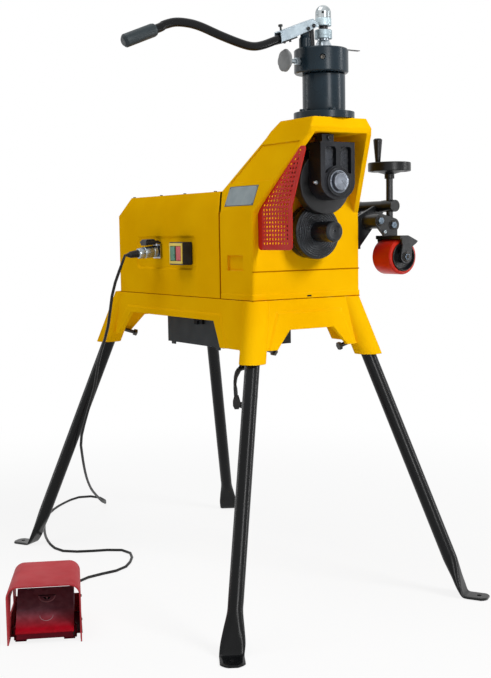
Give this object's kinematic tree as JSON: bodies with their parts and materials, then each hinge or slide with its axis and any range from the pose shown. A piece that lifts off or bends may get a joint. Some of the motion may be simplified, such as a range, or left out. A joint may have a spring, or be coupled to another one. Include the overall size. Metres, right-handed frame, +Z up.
{
  "type": "hydraulic pipe groover",
  "caption": "Hydraulic roll groover for steel pipe on a four-legged tubular stand, with hand pump, guarded rolls, pipe steady and foot pedal",
  "frame": {"origin": "on the floor under the middle of the machine's box, measured without the cords", "axes": "+Z up, +Y from the rolls to the rear cover, +X to the pipe steady's side"},
  "size_m": [1.0606, 1.5261, 1.362],
  "materials": {
    "yellow_paint": "semi-gloss enamel on castings and sheet",
    "red_paint": "semi-gloss enamel",
    "black_paint": "semi-gloss enamel",
    "slate_paint": "satin powder coat",
    "roll_steel": "machined and blackened tool steel",
    "bright_steel": "ground or plated",
    "zinc": "zinc plated",
    "motor_iron": "machinery enamel over cast iron",
    "black_plastic": "satin",
    "green_plastic": "glossy",
    "red_plastic": "glossy",
    "red_rubber": "orange-red tread",
    "hood_paint": "dusty red coat",
    "pedal_paint": "dark red coat, worn",
    "cord_rubber": "matte jacket"
  },
  "bodies": {
    "stand": {"base_casting": "yellow_paint", "electrics_box": "slate_paint", "head_casting": "yellow_paint", "rear_cover": "yellow_paint", "leg_front_left": "black_paint", "leg_front_right": "black_paint", "leg_rear_left": "black_paint", "leg_rear_right": "black_paint", "clamp_bolt_front_left": "bright_steel", "clamp_bolt_front_right": "bright_steel", "clamp_bolt_rear_left": "bright_steel", "clamp_bolt_rear_right": "bright_steel", "front_bearing": "bright_steel", "gear_motor": "motor_iron", "guard": "red_paint", "jack_flange": "black_paint", "jack_cylinder": "black_paint", "pump_collar": "black_paint", "filler_stem": "zinc", "dome_cap": "zinc", "pointer": "zinc", "fulcrum_link": "zinc", "steady_bracket": "black_paint", "switch_housing": "black_plastic", "panel_socket": "zinc", "cord_plug": "zinc", "pedal_cord": "cord_rubber", "mains_gland": "black_plastic", "mains_hank": "cord_rubber", "mains_plug": "black_plastic", "pedal_base": "hood_paint", "pedal_hood": "hood_paint", "pedal_switch": "black_plastic", "pedal_gland": "black_plastic"},
    "drive_roll": {"lower_drive_roll": "roll_steel", "drive_shaft": "bright_steel", "drive_gear": "motor_iron"},
    "motor_pinion": {"motor_pinion": "bright_steel"},
    "slider": {"slider": "roll_steel", "roll_bush": "bright_steel", "roll_pin": "bright_steel", "jack_ram": "bright_steel"},
    "upper_roll": {"upper_roll": "roll_steel"},
    "pump_lever": {"lever_channel": "zinc", "handle_tube": "black_paint", "handle_grip": "black_plastic"},
    "pump_plunger": {"pump_plunger": "black_paint"},
    "release_knob": {"release_knob": "zinc"},
    "steady_fork": {"steady_fork": "black_paint", "roller_axle": "bright_steel"},
    "steady_roller": {"roller_hub": "black_plastic", "roller_tyre": "red_rubber"},
    "screw_clevis": {"screw_clevis": "zinc"},
    "handwheel": {"steady_screw": "black_paint", "handwheel": "black_plastic"},
    "wheel_grip": {"wheel_grip": "black_plastic"},
    "start_button": {"start_button": "green_plastic"},
    "stop_button": {"stop_button": "red_plastic"},
    "socket_lid": {"socket_lid": "black_plastic"},
    "treadle": {"treadle": "pedal_paint"}
  },
  "joints": [
    {"name": "drive_roll_spin", "type": "hinge", "parent": "stand", "child": "drive_roll", "pos_m": [0.155, -0.355, 0.87], "axis": [0, 1, 0], "continuous": true},
    {"name": "motor_pinion_spin", "type": "hinge", "parent": "stand", "child": "motor_pinion", "pos_m": [0.155, -0.175, 0.7879], "axis": [0, 1, 0], "continuous": true},
    {"name": "slider_press", "type": "slide", "parent": "stand", "child": "slider", "axis": [0, 0, 1], "range_m": [-0.014, 0]},
    {"name": "upper_roll_spin", "type": "hinge", "parent": "slider", "child": "upper_roll", "pos_m": [0.155, -0.4254, 0.978], "axis": [0, 1, 0], "continuous": true},
    {"name": "pump_lever_swing", "type": "hinge", "parent": "stand", "child": "pump_lever", "pos_m": [0.1195, -0.4218, 1.313], "axis": [0, 1, 0], "range_deg": [0, 35]},
    {"name": "pump_plunger_stroke", "type": "slide", "parent": "stand", "child": "pump_plunger", "axis": [0, 0, 1], "range_m": [0, 0.0104]},
    {"name": "release_knob_turn", "type": "hinge", "parent": "stand", "child": "release_knob", "pos_m": [0.0513, -0.4218, 1.2363], "axis": [1, 0, 0], "range_deg": [0, 360]},
    {"name": "steady_fork_swing", "type": "hinge", "parent": "stand", "child": "steady_fork", "pos_m": [0.332, -0.405, 0.892], "axis": [0, 1, 0], "range_deg": [-13, 13]},
    {"name": "steady_roller_spin", "type": "hinge", "parent": "steady_fork", "child": "steady_roller", "pos_m": [0.377, -0.432, 0.809], "axis": [0, 1, 0], "continuous": true},
    {"name": "screw_clevis_lift", "type": "slide", "parent": "stand", "child": "screw_clevis", "axis": [0, 0, 1], "range_m": [-0.0092, 0.0092]},
    {"name": "handwheel_turn", "type": "hinge", "parent": "screw_clevis", "child": "handwheel", "pos_m": [0.37, -0.39, 0.8837], "axis": [0, 0, 1], "range_deg": [-405, 405]},
    {"name": "wheel_grip_spin", "type": "hinge", "parent": "handwheel", "child": "wheel_grip", "pos_m": [0.335, -0.39, 1.0283], "axis": [0, 0, 1], "continuous": true},
    {"name": "start_button_press", "type": "slide", "parent": "stand", "child": "start_button", "axis": [1, 0, 0], "range_m": [0, 0.004], "stiffness_N_per_m": 400, "springref_m": -0.002},
    {"name": "stop_button_press", "type": "slide", "parent": "stand", "child": "stop_button", "axis": [1, 0, 0], "range_m": [0, 0.004], "stiffness_N_per_m": 400, "springref_m": -0.002},
    {"name": "socket_lid_lift", "type": "hinge", "parent": "stand", "child": "socket_lid", "pos_m": [0.0024, 0.075, 0.85], "axis": [0, 1, 0], "range_deg": [0, 50]},
    {"name": "treadle_press", "type": "hinge", "parent": "stand", "child": "treadle", "pos_m": [-0.44153, -0.18732, 0.02], "axis": [-0.8996, 0.4368, 0], "range_deg": [0, 8], "stiffness_Nm_per_rad": 4, "springref_deg": -14.32}
  ],
  "couplings": [
    {"joint": "motor_pinion_spin", "follows": "drive_roll_spin", "ratio": -4.2581},
    {"joint": "pump_plunger_stroke", "follows": "pump_lever_swing", "m_per_rad": 0.01676},
    {"joint": "screw_clevis_lift", "follows": "steady_fork_swing", "m_per_rad": -0.039},
    {"joint": "handwheel_turn", "follows": "steady_fork_swing", "ratio": 30.631}
  ]
}
